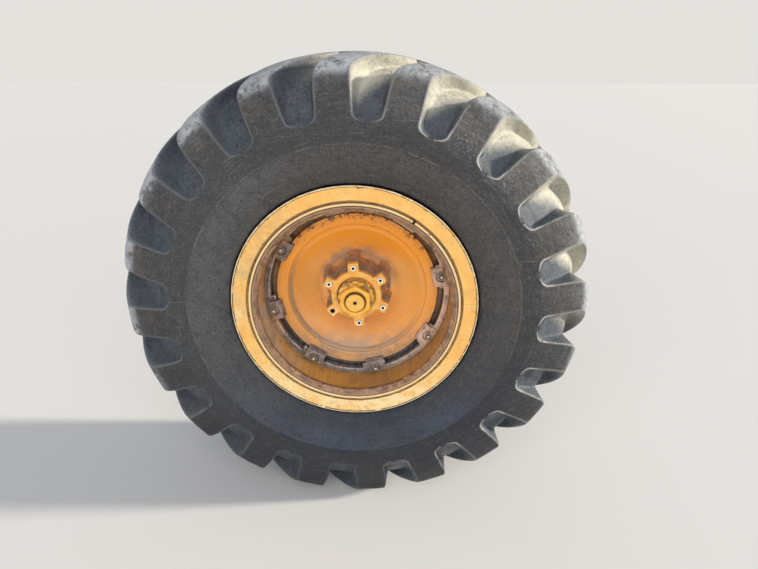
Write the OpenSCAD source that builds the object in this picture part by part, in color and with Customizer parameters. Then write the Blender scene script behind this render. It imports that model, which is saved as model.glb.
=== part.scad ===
// Drive wheel of a road-building machine on its bearing housing, in millimetres.
// The axle lies along Y. The wheel's painted face looks toward -Y and the housing
// bolts to the machine at Y = 0, where the origin lies on the axle.
// Depths are measured from the plane of the outboard flange edge toward +Y.
// Angles are counted from +X toward +Z, as seen from outboard.

/* [Tire] */
// Outside diameter over the lugs
tire_d = 1352; // [1300:2:1400]
// Width over the two sidewalls
tire_w = 460; // [440:2:480]
// Number of lugs on each side
lug_count = 20; // [16:1:22]
// Width of a lug on the tread
lug_w = 86; // [74:2:96]
// Depth of the grooves on the crown
groove_depth = 26; // [16:1:32]
// Radius where the grooves end on the sidewall
groove_end_r = 520; // [500:2:540]
// Angle that a lug sweeps from the shoulder to the centre
lug_sweep = 15; // [8:1:18]
// Thickness of the casing under the grooves
casing_t = 26; // [18:1:34]

/* [Rim] */
// Height of a side flange over the tire seat
flange_h = 33; // [28:1:38]
// Width over the two side flanges
rim_w = 388; // [376:1:400]
// Diameter of the tire seats
seat_d = 635; // [630:1:640]
// Inside diameter of the rim base
barrel_d = 559; // [550:1:564]
// Wall of the rim base
barrel_wall = 12; // [9:0.5:14]
// Thickness of a side flange
flange_t = 16; // [12:1:20]
// Width of the slot in the lock ring
lock_gap = 8; // [4:1:14]

/* [Wheel centre] */
// Depth of the mounting ring's front face
ring_depth = 114; // [106:1:118]
// Width of the mounting ring, across its face
ring_w = 17; // [14:1:19]
// Thickness of the mounting ring
ring_t = 52; // [44:1:60]
// Depth of the disc edge's front face
disc_depth = 126; // [122:1:130]
// Diameter of the disc
disc_d = 488; // [476:1:496]
// Thickness of the disc edge
disc_t = 20; // [14:1:24]
// Width of the flat flange at the disc's edge
disc_flange_w = 32; // [26:1:38]
// Depth of the bottom of the dish
dish_depth = 198; // [186:1:208]

/* [Clamps] */
// Number of clamps
clamp_count = 8; // [6:1:10]
// Width of a clamp, along the rim
clamp_w = 58; // [46:1:64]
// Length of a clamp, across the rim
clamp_l = 39; // [37:1:42]
// Thickness of a clamp over the ring
clamp_t = 12; // [10:1:16]
// Radius of a clamp stud
stud_r = 6.5; // [5.5:0.5:7.5]

/* [Hub] */
// Depth of the hub's front face
hub_depth = 90; // [84:1:96]
// Depth of the hub's back face
hub_back = 305; // [296:1:312]
// Radius of the hub's neck at the front
neck_r = 75; // [72:1:78]
// Radius of the ears' tips
tip_r = 102; // [99:1:106]
// Width of an ear
ear_w = 33; // [29:1:37]
// Radius of the circle of ear screws
ear_pitch_r = 88; // [86:1:90]
// Radius of the pocket in the hub's face
pocket_r = 57.5; // [55.5:0.5:60]
// Radius of an ear screw's head
screw_head_r = 8.5; // [7:0.5:10]

/* [Axle] */
// Radius of the axle in the hub and the bearings
axle_r = 45; // [40:0.5:48]
// Radius of the axle's threaded end
thread_r = 29; // [26:0.5:32]
// Depth of the axle's outer end
axle_end_depth = 34; // [28:1:38]
// Width of the hub nut across its flats
nut_af = 85; // [80:1:90]
// Height of the hub nut
nut_h = 28; // [22:1:32]
// Radius of the scalloped ring under the nut
scallop_r = 53.5; // [50:0.5:55]
// Length of the splined drive end behind the mounting face
spline_l = 95; // [70:5:120]

/* [Axle housing] */
// Distance from the mounting face to the wheel's outboard flange edge
wheel_reach = 470; // [460:1:490]
// Radius of the mounting flange
mount_flange_r = 190; // [180:1:210]
// Thickness of the mounting flange
mount_flange_t = 30; // [24:1:36]
// Radius of the bolt circle
mount_pitch_r = 160; // [150:1:168]
// Radius of a bolt hole
mount_hole_r = 11; // [9:0.5:13]
// Number of bolt holes
mount_hole_count = 12; // [8:1:16]
// Radius of the housing's tube
housing_r = 92; // [84:1:98]

/* [Hidden] */

// Smoothness of round forms
fine = 96;
coarse = 32;
// Running clearance of the axle in its bearings
run_gap = 0.05;
// Clearance between the wheel and the housing, end to end
end_gap = 8;
// Clearance of the tire on its seats
fit_gap = 0.3;
// Slope of a lug's flank, from its top to its foot
lug_draft = 14;
// Angle of the first lug
lug_angle = 40.5;

// Places that several pieces share
face_y = -wheel_reach;
mid_depth = rim_w / 2;
mid_y = face_y + mid_depth;
seat_r = seat_d / 2;
flange_r = seat_r + flange_h;
barrel_r = barrel_d / 2;
base_r = barrel_r + barrel_wall;
tire_r = tire_d / 2;
bulge = (tire_w - rim_w) / 2;
hub_foot_r = tip_r + 10;
pitch = 360 / lug_count;

// A ring about the axle, from an outline of radius and depth
module ring(outline) {
    translate([0, face_y, 0])
        rotate([-90, 0, 0])
            rotate_extrude($fn = fine) polygon(outline);
}

// A straight round bar or hole along the axle, between two depths
module bar(r, from, to, sides = fine) {
    translate([0, face_y + from, 0])
        rotate([-90, 0, 0])
            cylinder(r = r, h = to - from, $fn = sides);
}

// Copies around the axle, the first one at an angle
module around(count, first = 0) {
    for (i = [0 : count - 1])
        rotate([0, -(first + i * 360 / count), 0]) children();
}

// Moves a shape out along +X, to a depth
module place(radius, depth) {
    translate([radius, face_y + depth, 0]) children();
}

/* Tire */

// The tire is one skin, closed on itself: rows run around the axle at places of the
// cross-section, and four columns a lug pitch follow the edges of the lugs.
// Each place of the outboard half, from the bead to the crown:
// lug top radius, lug top depth, groove floor radius, groove floor depth,
// width of the lug (0 where there is none), share of the sweep
floor_r = tire_r - groove_depth;
side_h = groove_end_r - flange_r;
shoulder_h = tire_r - groove_end_r;
half_w = mid_depth + bulge;

// Radius at a share of the way from the crown down to the grooves' ends
function down(share) = tire_r - share * shoulder_h;

// Depth at a share of the way from the sidewall to the middle
function inward(share) = share * half_w - bulge;

tire_places = [
    [seat_r + fit_gap, flange_t + fit_gap, seat_r + fit_gap, flange_t + fit_gap, 0, 0],
    [flange_r - 13, flange_t + fit_gap, flange_r - 13, flange_t + fit_gap, 0, 0],
    [flange_r + 2, 9, flange_r + 2, 9, 0, 0],
    [flange_r + 0.28 * side_h, 10 - bulge, flange_r + 0.28 * side_h, 10 - bulge, 0, 0],
    [flange_r + 0.66 * side_h, 0.4 - bulge, flange_r + 0.66 * side_h, 0.4 - bulge, 0, 0],
    [groove_end_r - 8, inward(0.006), groove_end_r - 8, inward(0.006), lug_w + 24, 0],
    [groove_end_r, inward(0.01), down(0.97), inward(0.043), lug_w + 14, 0],
    [down(0.85), inward(0.026), down(0.82), inward(0.11), lug_w + 2, 0],
    [down(0.474), inward(0.091), down(0.551), inward(0.239), lug_w + 2, 0],
    [down(0.224), inward(0.152), down(0.372), inward(0.409), lug_w, 0.03],
    [down(0.122), inward(0.239), down(0.276), inward(0.557), lug_w, 0.14],
    [down(0.051), inward(0.374), down(0.218), inward(0.678), lug_w, 0.30],
    [down(0.013), inward(0.565), floor_r - 2, inward(0.80), lug_w, 0.56],
    [tire_r, mid_depth - 4, floor_r, mid_depth - 8, lug_w, 1]
];
// Places inside the tire, from the inboard bead to the outboard one: radius, depth
inner_places = [
    [seat_r - 3 + fit_gap, rim_w - flange_t - 42],
    [flange_r + 10, rim_w - flange_t - 34],
    [groove_end_r, rim_w + bulge - casing_t - 8],
    [floor_r - casing_t, rim_w + bulge - 150],
    [floor_r - casing_t, 150 - bulge],
    [groove_end_r, casing_t + 8 - bulge],
    [flange_r + 10, flange_t + 34],
    [seat_r - 3 + fit_gap, flange_t + 42]
];

function polar(radius, depth, angle) =
    [radius * cos(angle), face_y + depth, radius * sin(angle)];

// Angles of a lug's four columns from the lug's centre: foot, top, top, foot
function lug_columns(place) =
    let (
        top = place[4] / 2 / place[0] * 180 / PI,
        foot = top + lug_draft / place[0] * 180 / PI
    )
    place[4] == 0 ? even_columns : [-foot, -top, top, foot];

even_columns = [for (k = [-3 : 2 : 3]) k * pitch / 8];

// The inboard half has its lugs half a pitch on, so its columns change roles
function far_columns(place) =
    let (c = lug_columns(place))
    place[4] == 0 ? even_columns : [c[2] - pitch / 2, c[3] - pitch / 2,
        c[0] + pitch / 2, c[1] + pitch / 2];

function near_row(place) = [
    for (n = [0 : lug_count - 1], k = [0 : 3])
        let (
            top = k == 1 || k == 2,
            angle = lug_angle + n * pitch + lug_columns(place)[k] - place[5] * lug_sweep
        )
        polar(top ? place[0] : place[2], top ? place[1] : place[3], angle)
];

function far_row(place) = [
    for (n = [0 : lug_count - 1], k = [0 : 3])
        let (
            top = k == 0 || k == 3,
            angle = lug_angle + n * pitch + far_columns(place)[k] - place[5] * lug_sweep
        )
        polar(top ? place[0] : place[2], rim_w - (top ? place[1] : place[3]), angle)
];

function plain_row(place, sweep = 0) = [
    for (n = [0 : lug_count - 1], k = [0 : 3])
        polar(place[0], place[1], lug_angle + n * pitch + even_columns[k] - sweep)
];

module tire() {
    last = len(tire_places) - 1;
    columns = 4 * lug_count;
    rows = concat(
        [for (p = tire_places) near_row(p)],
        [plain_row([floor_r, mid_depth], lug_sweep)],
        [for (i = [last : -1 : 0]) far_row(tire_places[i])],
        [for (p = inner_places) plain_row(p)]
    );
    row_count = len(rows);
    faces = [
        for (i = [0 : row_count - 1], j = [0 : columns - 1])
            let (
                i2 = (i + 1) % row_count,
                j2 = (j + 1) % columns,
                a = i * columns + j,
                b = i * columns + j2,
                c = i2 * columns + j2,
                d = i2 * columns + j
            )
            each [[a, b, c], [a, c, d]]
    ];
    color([0.24, 0.25, 0.27])
        polyhedron([for (row = rows) each row], faces, convexity = 8);
}

/* Rim */

gutter_lip = 3;
gutter_front = 0.3 * flange_t;
gutter_back = 1.5 * flange_t;
lip_r = seat_r + 9;
band_in_r = base_r + 12;
band_back = 6 * flange_t;
// The outboard flange has a foot in front of the seat band
foot_r = band_in_r + 4.5;
foot_back = 0.55 * flange_t;

module rim_base() {
    back = rim_w - flange_t;
    color([0.80, 0.55, 0.28]) difference() {
        ring([
            [barrel_r, gutter_back + 2],
            [barrel_r - gutter_lip, gutter_back - 3],
            [barrel_r - gutter_lip, gutter_back - 10],
            [base_r - 0.5, gutter_front],
            [base_r + 0.5, gutter_front + 0.8],
            [base_r + 0.5, gutter_front + 3],
            [base_r - 1.5, gutter_front + 4],
            [base_r - 1.5, gutter_back - 3],
            [band_in_r, gutter_back],
            [band_in_r, 0.65 * band_back],
            [base_r, 0.88 * band_back],
            [base_r, back - 74],
            [seat_r - 6, back - 68],
            [seat_r, back],
            [seat_r, rim_w - 4.5],
            [lip_r, rim_w - 4.5],
            [lip_r, rim_w - 1],
            [lip_r - 2, rim_w + 1],
            [seat_r - 12, rim_w + 1],
            [barrel_r, rim_w - 18]
        ]);
        around(1, valve_angle) place(barrel_r, valve_depth)
            rotate([0, 90, 0]) cylinder(r = valve_r + 0.3, h = 60, center = true, $fn = coarse);
    }
}

// Outline of a side flange from its face over the rolled lip to its back
function flange_outline() = [
    [flange_r - 6, 4],
    [flange_r - 4.5, 0.8],
    [flange_r - 2, 0],
    [flange_r, 3],
    [flange_r - 1, 9],
    [flange_r - 7, 13],
    [flange_r - 14, flange_t],
    [seat_r + 0.3, flange_t]
];

module outboard_flange() {
    color([0.93, 0.72, 0.38]) ring(concat(
        flange_outline(),
        [[seat_r + 0.3, foot_back], [foot_r, foot_back], [foot_r, foot_back - 3]]
    ));
}

module inboard_flange() {
    outline = concat(flange_outline(), [[seat_r + 0.3, 6]]);
    color([0.80, 0.55, 0.28]) ring([for (p = outline) [p[0], rim_w - p[1]]]);
}

module bead_seat_band() {
    color([0.90, 0.66, 0.32]) ring([
        [band_in_r, gutter_back + 1],
        [band_in_r, foot_back + 3],
        [band_in_r + 2, foot_back],
        [seat_r - 1, foot_back],
        [seat_r, foot_back + 1],
        [seat_r, flange_t],
        [seat_r - 6, band_back],
        [band_in_r, band_back - 6]
    ]);
}

module lock_ring() {
    color([0.86, 0.74, 0.58]) difference() {
        ring([
            [base_r - 1.5, gutter_front + 4],
            [base_r + 4, gutter_front + 3],
            [base_r + 4, gutter_front - 0.5],
            [base_r + 5.5, gutter_front - 1.5],
            [band_in_r - 3.5, gutter_front - 1.5],
            [band_in_r - 2, gutter_front],
            [band_in_r - 2, foot_back + 1],
            [band_in_r, foot_back + 3],
            [band_in_r, gutter_back],
            [base_r - 1.5, gutter_back - 3]
        ]);
        around(1, 57) place(base_r, gutter_back / 2)
            cube([4 * flange_t, 4 * flange_t, lock_gap], center = true);
    }
}

/* Wheel centre */

ring_in_r = barrel_r - ring_w;
disc_r = disc_d / 2;
ledge_depth = disc_depth + disc_t;
ring_back = ring_depth + ring_t;
// The clamps stand on bosses of the ring, which reach from one angle to another
boss_in_r = disc_r + 4;
boss_depth = ring_depth + 3;
boss_from = -9.5;
boss_to = 7;

// Bounds of a boss, as seen along the axle
function boss_outline() = concat(
    [for (step = [0 : 4]) let (angle = boss_from + step * (boss_to - boss_from) / 4)
        [(ring_in_r + 3) * cos(angle), (ring_in_r + 3) * sin(angle)]],
    [for (step = [4 : -1 : 0]) let (angle = boss_from + step * (boss_to - boss_from) / 4)
        [boss_in_r * cos(angle), boss_in_r * sin(angle)]]
);

module mounting_ring() {
    color([0.52, 0.44, 0.38]) difference() {
        union() {
            ring([
                [barrel_r, ring_depth],
                [barrel_r, ring_back],
                [disc_r - 10, ring_back],
                [disc_r - 10, ledge_depth],
                [ring_in_r, ledge_depth],
                [ring_in_r, ring_depth]
            ]);
            around(clamp_count, clamp_angle) translate([0, face_y + ledge_depth + 4, 0])
                rotate([90, 0, 0]) linear_extrude(ledge_depth + 4 - boss_depth)
                    polygon(boss_outline());
        }
        around(clamp_count, clamp_angle) place(stud_pitch_r, ring_depth - 1)
            rotate([-90, 0, 0]) cylinder(r = stud_r, h = stud_hold + 1, $fn = coarse);
    }
}

flange_in_r = disc_r - disc_flange_w;
hub_barrel_r = 101;
cone_in_r = hub_foot_r + 10;

module wheel_disc() {
    color([0.87, 0.56, 0.25]) ring([
        [disc_r, disc_depth + 4],
        [disc_r - 1.2, disc_depth + 1.2],
        [disc_r - 4, disc_depth],
        [flange_in_r, disc_depth],
        [flange_in_r - 4, disc_depth + 7],
        [flange_in_r - 13, disc_depth + 9],
        [flange_in_r - 17, disc_depth + 8],
        [cone_in_r, dish_depth - 3],
        [hub_foot_r + 1, dish_depth],
        [hub_barrel_r, dish_depth],
        [hub_barrel_r, dish_depth + disc_t],
        [cone_in_r, dish_depth + disc_t],
        [flange_in_r - 8, ledge_depth + 12],
        [flange_in_r + 14, ledge_depth],
        [disc_r, ledge_depth]
    ]);
}

/* Clamps */

clamp_angle = 13;
cheek_w = 12;
nut_r = 1.65 * stud_r;
nut_t = 1.2 * stud_r;
stud_pitch_r = ring_in_r - 4;
stud_hold = 3.6 * stud_r;
clamp_out_r = barrel_r - 10;
heel_depth = ring_depth - clamp_t;
seat_depth = heel_depth + 0.4 * clamp_t;

module rim_clamp() {
    in_r = clamp_out_r - clamp_l;
    toe_r = disc_r + 1;
    slot_w = clamp_w - 2 * cheek_w;
    difference() {
        translate([0, face_y, -clamp_w / 2]) linear_extrude(clamp_w) polygon([
            [in_r, disc_depth],
            [in_r, disc_depth - 10],
            [in_r + 5, heel_depth + 3],
            [in_r + 10, heel_depth],
            [clamp_out_r - 2, heel_depth],
            [clamp_out_r, heel_depth + 2],
            [clamp_out_r, ring_depth],
            [toe_r + 1, ring_depth],
            [toe_r, disc_depth - 4],
            [toe_r - 4, disc_depth]
        ]);
        place(stud_pitch_r, heel_depth - 1) rotate([-90, 0, 0])
            cylinder(d = slot_w, h = seat_depth - heel_depth + 1, $fn = coarse);
        place(stud_pitch_r, heel_depth - 1) translate([0, 0, -slot_w / 2])
            cube([clamp_l, seat_depth - heel_depth + 1, slot_w]);
        place(stud_pitch_r, heel_depth - 1) rotate([-90, 0, 0])
            cylinder(r = stud_r + 0.5, h = disc_depth - heel_depth + 2, $fn = coarse);
    }
}

// Two clamps at the top are missing with their studs
module around_clamps() {
    for (i = [0 : clamp_count - 1])
        if (i != 1 && i != 2)
            around(1, clamp_angle + i * 360 / clamp_count) children();
}

module rim_clamps() {
    color([0.50, 0.44, 0.42]) around_clamps() rim_clamp();
}

module clamp_stud() {
    stud_end = seat_depth - nut_t - 3;
    place(stud_pitch_r, stud_end) rotate([-90, 0, 0])
        cylinder(r = stud_r, h = ring_depth + stud_hold - stud_end, $fn = coarse);
    place(stud_pitch_r, seat_depth - nut_t) rotate([-90, 0, 0])
        cylinder(r = nut_r, h = nut_t, $fn = 6);
}

module clamp_studs() {
    color([0.46, 0.41, 0.40]) around_clamps() clamp_stud();
}

/* Hub */

ear_angle = 35.2;
ear_count = 6;
pocket_depth = hub_depth + 0.1 * pocket_r;
screw_l = 24;
screw_r = 0.65 * screw_head_r;
cheek_h = 2.5;
barrel_step = 12;

// The cone that bounds the hub's ribs, from the ears' tips to the foot
module rib_cone(depth) {
    place(0, hub_depth) rotate([-90, 0, 0])
        cylinder(r1 = tip_r, r2 = hub_foot_r, h = depth, $fn = fine);
}

module hub() {
    depth = dish_depth - hub_depth;
    color([0.88, 0.60, 0.24]) difference() {
        union() {
            intersection() {
                rib_cone(depth);
                union() {
                    place(0, hub_depth - 1) rotate([-90, 0, 0])
                        cylinder(r1 = neck_r, r2 = neck_r + 10, h = depth + 2, $fn = fine);
                    around(ear_count, ear_angle)
                        translate([0, face_y + hub_depth - 1, -ear_w / 2])
                            cube([2 * tip_r, depth + 2, ear_w]);
                }
            }
            around(ear_count, ear_angle) for (side = [-1, 1])
                translate([tip_r - 17, face_y + hub_depth - cheek_h, side * (ear_w / 2 - 3.5) - 2.2])
                    cube([14.5, cheek_h + 1, 4.4]);
            ring([
                [0, dish_depth - 4],
                [neck_r + 8, dish_depth - 4],
                [neck_r + 8, dish_depth],
                [hub_barrel_r, dish_depth],
                [hub_barrel_r, hub_back - 2.5 * barrel_step],
                [hub_barrel_r - barrel_step, hub_back - 2 * barrel_step],
                [hub_barrel_r - barrel_step, hub_back],
                [0, hub_back]
            ]);
        }
        bar(axle_r, hub_depth - 1, hub_back + 1);
        bar(pocket_r, hub_depth - 1, pocket_depth);
        around(ear_count, ear_angle) place(ear_pitch_r, hub_depth - 1)
            rotate([-90, 0, 0]) cylinder(r = screw_r, h = screw_l + 1, $fn = coarse);
    }
}

// Five screws are left: the one at the lower left is missing
module ear_screws() {
    missing = 3;
    head_h = 0.5 * screw_head_r;
    color([0.85, 0.78, 0.62])
        for (i = [0 : ear_count - 1])
            if (i != missing)
                around(1, ear_angle + i * 360 / ear_count) difference() {
                    union() {
                        place(ear_pitch_r, hub_depth) rotate([-90, 0, 0])
                            cylinder(r = screw_r, h = screw_l, $fn = coarse);
                        place(ear_pitch_r, hub_depth - head_h) rotate([-90, 0, 0])
                            cylinder(r = screw_head_r, h = head_h, $fn = coarse);
                    }
                    place(ear_pitch_r, hub_depth - head_h - 1) rotate([-90, 0, 0])
                        cylinder(r = 0.43 * screw_head_r, h = head_h + 11, $fn = coarse);
                }
}

ring_front = hub_depth - 0.37 * scallop_r;

module scalloped_ring() {
    scallops = 12;
    color([0.90, 0.66, 0.26]) difference() {
        bar(scallop_r, ring_front, pocket_depth);
        bar(thread_r, ring_front - 1, pocket_depth + 1);
        around(scallops, 15) place(1.056 * scallop_r, ring_front - 1) rotate([-90, 0, 0])
            cylinder(r = 0.13 * scallop_r, h = 0.28 * scallop_r, $fn = coarse);
    }
}

module hub_nut() {
    corner_r = nut_af / 2 / cos(30);
    nut_front = ring_front - nut_h;
    color([0.93, 0.70, 0.28]) difference() {
        intersection() {
            around(1, 90) place(0, nut_front) rotate([-90, 0, 0])
                cylinder(r = corner_r, h = nut_h, $fn = 6);
            ring([
                [0, nut_front - 1],
                [corner_r - 6, nut_front - 1],
                [corner_r + 3, nut_front + 8],
                [corner_r + 3, ring_front + 1],
                [0, ring_front + 1]
            ]);
        }
        bar(thread_r, nut_front - 1, ring_front + 1);
        ring([
            [0, nut_front - 1],
            [thread_r + 4, nut_front - 1],
            [thread_r + 4, nut_front + 2],
            [thread_r - 1, nut_front + 5],
            [0, nut_front + 5]
        ]);
    }
}

/* Axle */

shoulder_depth = pocket_depth + 3;
spline_count = 16;

module axle_shaft() {
    color([0.80, 0.66, 0.38]) difference() {
        union() {
            ring([
                [0, axle_end_depth],
                [thread_r - 2, axle_end_depth],
                [thread_r, axle_end_depth + 2],
                [thread_r, shoulder_depth],
                [axle_r - 2, shoulder_depth],
                [axle_r, shoulder_depth + 2],
                [axle_r, wheel_reach + 10],
                [axle_r - 7, wheel_reach + 12],
                [axle_r - 7, wheel_reach + spline_l - 2],
                [axle_r - 9, wheel_reach + spline_l],
                [0, wheel_reach + spline_l]
            ]);
            around(spline_count) translate([0, 14, -3])
                cube([axle_r - 1, spline_l - 18, 6]);
        }
        ring([
            [0, axle_end_depth - 1],
            [6, axle_end_depth - 1],
            [6, axle_end_depth + 2],
            [3.5, axle_end_depth + 4],
            [3.5, axle_end_depth + 20],
            [0, axle_end_depth + 22]
        ]);
    }
}

/* Valve */

valve_angle = 236;
valve_depth = 236;
valve_r = 8;

module valve_stem() {
    bend_r = 18;
    color([0.55, 0.45, 0.30]) around(1, valve_angle) {
        place(barrel_r - 20, valve_depth) rotate([0, 90, 0])
            cylinder(r = valve_r, h = barrel_wall + 24, $fn = coarse);
        place(barrel_r - 9.6, valve_depth) rotate([0, 90, 0])
            cylinder(r = valve_r + 6, h = 9, $fn = 6);
        place(barrel_r - 20, valve_depth + bend_r)
            rotate([0, 0, 180]) rotate_extrude(angle = 90, $fn = coarse)
                translate([bend_r, 0]) circle(r = valve_r - 1.5, $fn = coarse);
        place(barrel_r - 20 - bend_r, valve_depth + bend_r) rotate([-90, 0, 0])
            cylinder(r = valve_r - 1.5, h = 42, $fn = coarse);
    }
}

/* Axle housing */

housing_front = hub_back + end_gap;
retainer_t = 0.152 * housing_r;
bearing_r = axle_r + 35;
bearing_t = 26;
retainer_screw_count = 6;
retainer_pitch_r = 0.85 * housing_r;
retainer_screw_r = 0.054 * housing_r;
screw_hold = 3.6 * retainer_screw_r;

module axle_housing() {
    front = housing_front + retainer_t;
    land = wheel_reach - bearing_t;
    color([0.72, 0.52, 0.28]) difference() {
        union() {
            ring([
                [0, front],
                [housing_r, front],
                [housing_r, wheel_reach - mount_flange_t - 28],
                [housing_r + 22, wheel_reach - mount_flange_t],
                [mount_flange_r - 3, wheel_reach - mount_flange_t],
                [mount_flange_r, wheel_reach - mount_flange_t + 3],
                [mount_flange_r, wheel_reach],
                [0, wheel_reach]
            ]);
        }
        bar(axle_r + run_gap, front - 1, wheel_reach + 1);
        bar(bearing_r, land, wheel_reach + 1);
        around(mount_hole_count, 15) place(mount_pitch_r, wheel_reach - mount_flange_t - 1)
            rotate([-90, 0, 0]) cylinder(r = mount_hole_r, h = mount_flange_t + 2, $fn = coarse);
        around(retainer_screw_count) place(retainer_pitch_r, front - 1)
            rotate([-90, 0, 0]) cylinder(r = retainer_screw_r, h = screw_hold + 1, $fn = coarse);
    }
}

module inboard_bearing() {
    color([0.62, 0.63, 0.65]) difference() {
        bar(bearing_r, wheel_reach - bearing_t, wheel_reach - 2);
        bar(axle_r + run_gap, wheel_reach - bearing_t - 1, wheel_reach);
        ring([
            [axle_r + 12, wheel_reach - 5],
            [axle_r + 24, wheel_reach - 5],
            [axle_r + 24, wheel_reach],
            [axle_r + 12, wheel_reach]
        ]);
    }
}

module seal_retainer() {
    color([0.60, 0.46, 0.32]) difference() {
        ring([
            [axle_r + 1, housing_front + 4],
            [axle_r + 14, housing_front],
            [axle_r + 20, housing_front + 4],
            [housing_r - 3, housing_front + 4],
            [housing_r, housing_front + 7],
            [housing_r, housing_front + retainer_t],
            [axle_r + 1, housing_front + retainer_t]
        ]);
        around(retainer_screw_count) place(retainer_pitch_r, housing_front)
            rotate([-90, 0, 0]) cylinder(r = retainer_screw_r, h = 2 * retainer_t, $fn = coarse);
    }
}

module retainer_screws() {
    color([0.45, 0.43, 0.42]) around(retainer_screw_count) {
        place(retainer_pitch_r, housing_front + 4) rotate([-90, 0, 0])
            cylinder(r = retainer_screw_r, h = retainer_t - 4 + screw_hold, $fn = coarse);
        place(retainer_pitch_r, housing_front + 4 - retainer_screw_r) rotate([-90, 0, 0])
            cylinder(r = 1.8 * retainer_screw_r, h = retainer_screw_r, $fn = 6);
    }
}

tire();
rim_base();
outboard_flange();
inboard_flange();
bead_seat_band();
lock_ring();
mounting_ring();
rim_clamps();
clamp_studs();
wheel_disc();
hub();
ear_screws();
scalloped_ring();
hub_nut();
axle_shaft();
valve_stem();
axle_housing();
inboard_bearing();
seal_retainer();
retainer_screws();
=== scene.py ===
# %% [markdown]
# # A drive wheel with worn paint and a lugged tire
#
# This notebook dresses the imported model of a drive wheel. The frame comes first:
# every piece of steel is already there, at its real size and on its own body. The
# scene adds the camera, the light, a detailed tire, rounded and weathered steel, and
# the finish of each surface. Everything is in metres, with the axle along Y and the
# painted face toward -Y.

# %% Load the frame
import math
from functools import partial

import bpy
import numpy as np
from mathutils import Matrix, Vector


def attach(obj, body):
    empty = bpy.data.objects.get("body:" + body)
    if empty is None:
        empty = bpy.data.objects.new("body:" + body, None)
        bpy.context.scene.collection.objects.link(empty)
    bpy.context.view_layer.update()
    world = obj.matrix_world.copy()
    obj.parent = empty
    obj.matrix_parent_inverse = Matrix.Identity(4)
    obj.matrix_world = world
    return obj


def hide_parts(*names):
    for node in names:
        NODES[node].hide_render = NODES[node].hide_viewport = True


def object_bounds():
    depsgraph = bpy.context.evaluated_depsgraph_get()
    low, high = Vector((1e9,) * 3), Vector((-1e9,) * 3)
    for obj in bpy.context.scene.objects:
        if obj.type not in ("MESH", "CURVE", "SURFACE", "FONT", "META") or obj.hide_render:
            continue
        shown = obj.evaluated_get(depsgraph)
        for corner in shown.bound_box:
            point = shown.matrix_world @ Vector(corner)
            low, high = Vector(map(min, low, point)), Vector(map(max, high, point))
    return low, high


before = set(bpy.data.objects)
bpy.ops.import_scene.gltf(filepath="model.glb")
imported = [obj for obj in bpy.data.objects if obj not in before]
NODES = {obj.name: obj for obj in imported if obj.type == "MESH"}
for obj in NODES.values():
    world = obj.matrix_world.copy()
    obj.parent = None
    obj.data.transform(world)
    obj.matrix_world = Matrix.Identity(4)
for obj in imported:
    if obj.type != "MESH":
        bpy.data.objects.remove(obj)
CAD_BOX = [list(corner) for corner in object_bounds()]
print("nodes:", ", ".join(sorted(NODES)))
print("box:", CAD_BOX)

# %% [markdown]
# ## Camera
#
# The photograph is taken standing, a little to the right of the wheel, with a wide
# lens that looks down at it. The place and the angles below come from fitting the
# rim's circles, so they are kept as plain real values.

# %% Camera
CAMERA_PLACE = (0.1065, -1.9368, 0.6642)   # metres
CAMERA_DOWN, CAMERA_LEFT, CAMERA_ROLL = 21.93, 1.42, -0.13   # degrees
LENS, SENSOR = 27.02, 36.0   # millimetres
NEAREST, FARTHEST = 0.05, 60.0


def add_object(name, data):
    made = bpy.data.objects.new(name, data)
    bpy.context.scene.collection.objects.link(made)
    return made


def make_camera():
    data = bpy.data.cameras.new("camera")
    data.lens, data.sensor_width = LENS, SENSOR
    data.clip_start, data.clip_end = NEAREST, FARTHEST
    cam = add_object("camera", data)
    turn = Matrix.Rotation(math.radians(CAMERA_LEFT), 4, "Z")
    tilt = Matrix.Rotation(math.radians(90 - CAMERA_DOWN), 4, "X")
    roll = Matrix.Rotation(math.radians(-CAMERA_ROLL), 4, "Z")
    cam.matrix_world = Matrix.Translation(CAMERA_PLACE) @ turn @ tilt @ roll
    bpy.context.scene.camera = cam
    return cam


camera = make_camera()
print("camera at", tuple(round(v, 3) for v in camera.location))

# %% [markdown]
# ## Floor and light
#
# The wheel stands on a plain pale floor. In the photograph the painted face lies in
# open shade, and low sun from the right rakes over the lugs and their pockets. A wide
# soft lamp does the first job. A smaller warm one, level with the face, does the
# second without lighting the face itself.

# %% Floor and light
FLOOR_Z = CAD_BOX[0][2]
FLOOR_WIDTH, FLOOR_COLOR = 60, (0.700, 0.686, 0.672)
# The way to the lamp, how wide it is in degrees, its strength and its color
LOW_RIGHT = (0.965, 0.04, 0.23), 4, 6.2, (1.0, 0.94, 0.82)
OPEN_FRONT = (0.02, -0.97, 0.12), 100, 3.4, (0.98, 0.985, 1.0)
# Color and strength of what lights the wheel and of what the camera sees behind it
SKY_LIGHT, BACKDROP = ((0.86, 0.92, 1.0), 0.38), ((0.775, 0.758, 0.722), 1.0)


def make_floor():
    bpy.ops.mesh.primitive_plane_add(size=FLOOR_WIDTH, location=(0, 0, FLOOR_Z))
    floor = bpy.context.object
    floor.name = "floor"
    mat = bpy.data.materials.new("floor_pale")
    mat.use_nodes = True
    bsdf = mat.node_tree.nodes["Principled BSDF"]
    bsdf.inputs["Base Color"].default_value = (*FLOOR_COLOR, 1)
    bsdf.inputs["Roughness"].default_value = 0.9
    floor.data.materials.append(mat)


def far_lamp(name, toward, spread, strength, color):
    """A distant lamp: toward points from the wheel to the lamp, spread is its angle."""
    data = bpy.data.lights.new(name, "SUN")
    data.energy, data.angle, data.color = strength, math.radians(spread), color
    lamp = add_object(name, data)
    lamp.rotation_euler = Vector(toward).to_track_quat("Z", "Y").to_euler()


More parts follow.
